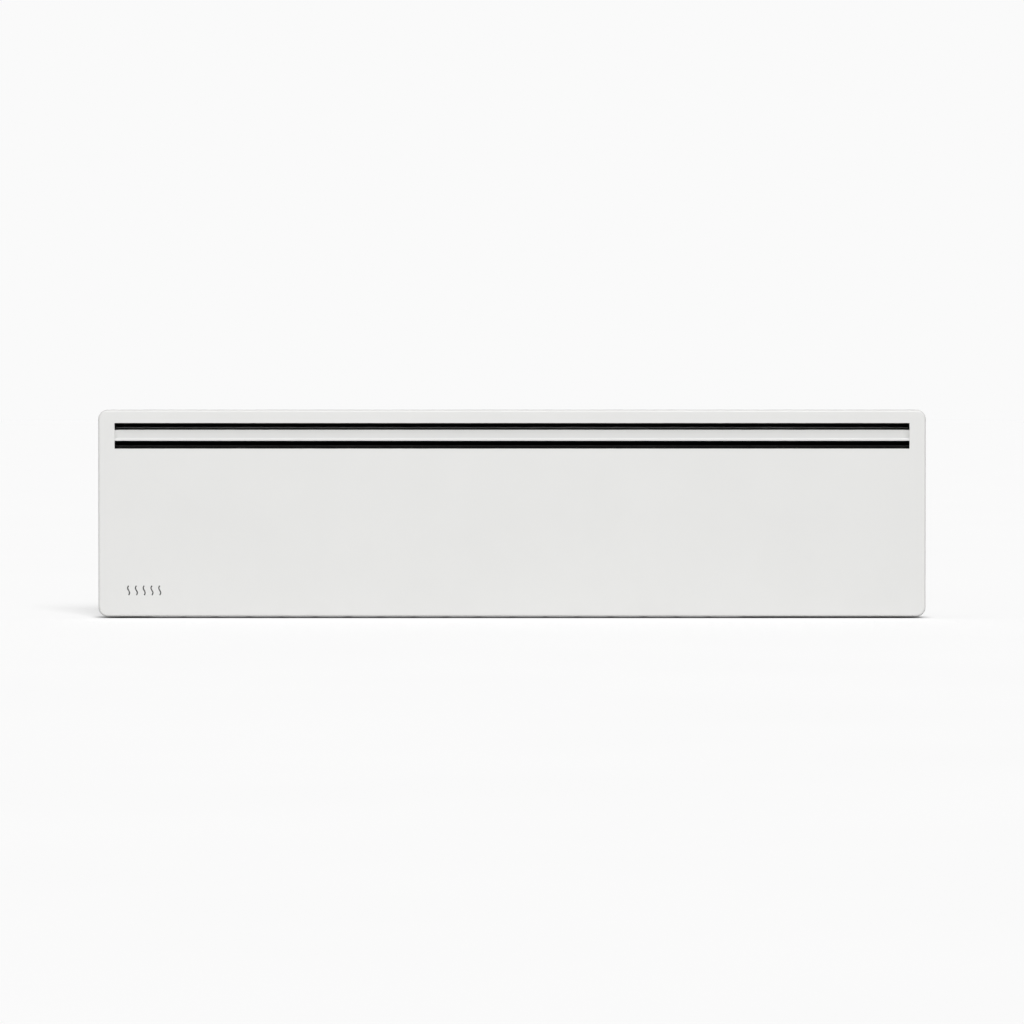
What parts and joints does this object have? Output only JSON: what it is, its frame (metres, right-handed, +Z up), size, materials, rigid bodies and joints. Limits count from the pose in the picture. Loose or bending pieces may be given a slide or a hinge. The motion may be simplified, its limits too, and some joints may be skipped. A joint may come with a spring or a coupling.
{
  "type": "baseboard heater",
  "caption": "Low, wide electric panel heater with a louvred outlet slot along its front, hinged on a wall bracket, with a plug-in thermostat cassette.",
  "frame": {"origin": "middle of the whole object's base: X at mid width, Y halfway between the front face and the wall plane, Z at the casing's lowest edge", "axes": "+X along the heater to the right seen from the room, +Y towards the wall, +Z up; the front face looks along -Y"},
  "size_m": [0.8, 0.0841, 0.2],
  "materials": {
    "white_paint": "satin powder coat, very fine orange peel",
    "bracket_steel": "light grey powder coat",
    "zinc_steel": "zinc plated sheet, faint spangle",
    "rivet_steel": "turned, satin",
    "spring_steel": "bright spring strip",
    "pin_steel": "turned, smooth",
    "dark_steel": "heat-resistant matt dark coating",
    "element_steel": "annealed stainless tube, straw oxide tint",
    "fin_aluminium": "rolled sheet",
    "nickel_steel": "nickel plated",
    "contact_brass": "bright",
    "ceramic_white": "unglazed steatite ceramic",
    "white_plastic": "fine spark texture",
    "grey_plastic": "moulded polyamide",
    "natural_plastic": "moulded polyamide, natural",
    "black_plastic": "moulded, satin",
    "button_grey": "moulded, satin",
    "board_green": "solder resist",
    "led_green": "clear tinted lens",
    "black_rubber": "moulded",
    "print_grey": "pad-printed ink",
    "label_foil": "blank satin foil label",
    "wire_brown": "silicone insulation",
    "wire_blue": "silicone insulation",
    "wire_green": "silicone insulation"
  },
  "bodies": {
    "wall_bracket": {"bracket_arm_left": "bracket_steel", "bracket_arm_right": "bracket_steel", "bracket_rail": "bracket_steel", "bracket_rivets": "rivet_steel", "spring_clips": "spring_steel"},
    "heater": {"front_cover": "white_paint", "cover_ends": "white_paint", "front_mark": "print_grey", "rear_casing": "white_paint", "inlet_grille": "white_paint", "rating_label": "label_foil", "rear_buffers": "black_rubber", "cover_brackets": "zinc_steel", "cover_screws": "zinc_steel", "hex_nuts": "zinc_steel", "front_heat_shield": "dark_steel", "rear_air_guide": "dark_steel", "guide_spacers": "zinc_steel", "casing_rivets": "rivet_steel", "inner_louvre": "dark_steel", "duct_end_plates": "dark_steel", "wiring_partition": "zinc_steel", "element_sheath": "element_steel", "element_fins": "fin_aluminium", "element_terminals": "nickel_steel", "element_insulators": "ceramic_white", "element_supports": "zinc_steel", "element_bushes": "ceramic_white", "thermal_cutout": "black_plastic", "capillary_clips": "spring_steel", "terminal_block": "natural_plastic", "terminal_screws": "contact_brass", "earth_stud": "zinc_steel", "wires_live": "wire_brown", "wires_neutral": "wire_blue", "wire_earth": "wire_green", "cassette_pocket": "zinc_steel", "cassette_socket": "black_plastic", "gland_body": "grey_plastic", "gland_nut": "grey_plastic", "gland_seal": "black_rubber", "gland_locknut": "grey_plastic", "hinge_brackets": "zinc_steel", "hinge_pins": "pin_steel", "catch_studs": "pin_steel"},
    "cassette": {"cassette_housing": "white_plastic", "cassette_lid": "white_plastic", "lid_screws": "zinc_steel", "control_board": "board_green", "board_components": "black_plastic", "contact_blades": "contact_brass", "temperature_sensor": "black_plastic", "potentiometer": "nickel_steel", "switch_body": "black_plastic", "led_lens": "led_green", "button_spring": "spring_steel"},
    "dial": {"dial_knob": "white_plastic", "dial_shaft": "nickel_steel"},
    "rocker": {"rocker": "black_plastic"},
    "release_button": {"release_button": "button_grey"}
  },
  "joints": [
    {"name": "tilt_forward", "type": "hinge", "parent": "wall_bracket", "child": "heater", "pos_m": [0, 0.024, 0.034], "axis": [1, 0, 0], "range_deg": [0, 30], "deforming": ["spring_clips"]},
    {"name": "cassette_slide", "type": "slide", "parent": "heater", "child": "cassette", "axis": [1, 0, 0], "range_m": [0, 0.115]},
    {"name": "thermostat_turn", "type": "hinge", "parent": "cassette", "child": "dial", "pos_m": [0.396, 0.0114, 0.068], "axis": [1, 0, 0], "range_deg": [0, 270]},
    {"name": "switch_rock", "type": "hinge", "parent": "cassette", "child": "rocker", "pos_m": [0.3885, 0.0114, 0.038], "axis": [0, 1, 0], "range_deg": [0, 16]},
    {"name": "release_press", "type": "slide", "parent": "cassette", "child": "release_button", "axis": [-1, 0, 0], "range_m": [0, 0.0025], "stiffness_N_per_m": 400, "springref_m": -0.001, "deforming": ["button_spring"]}
  ]
}
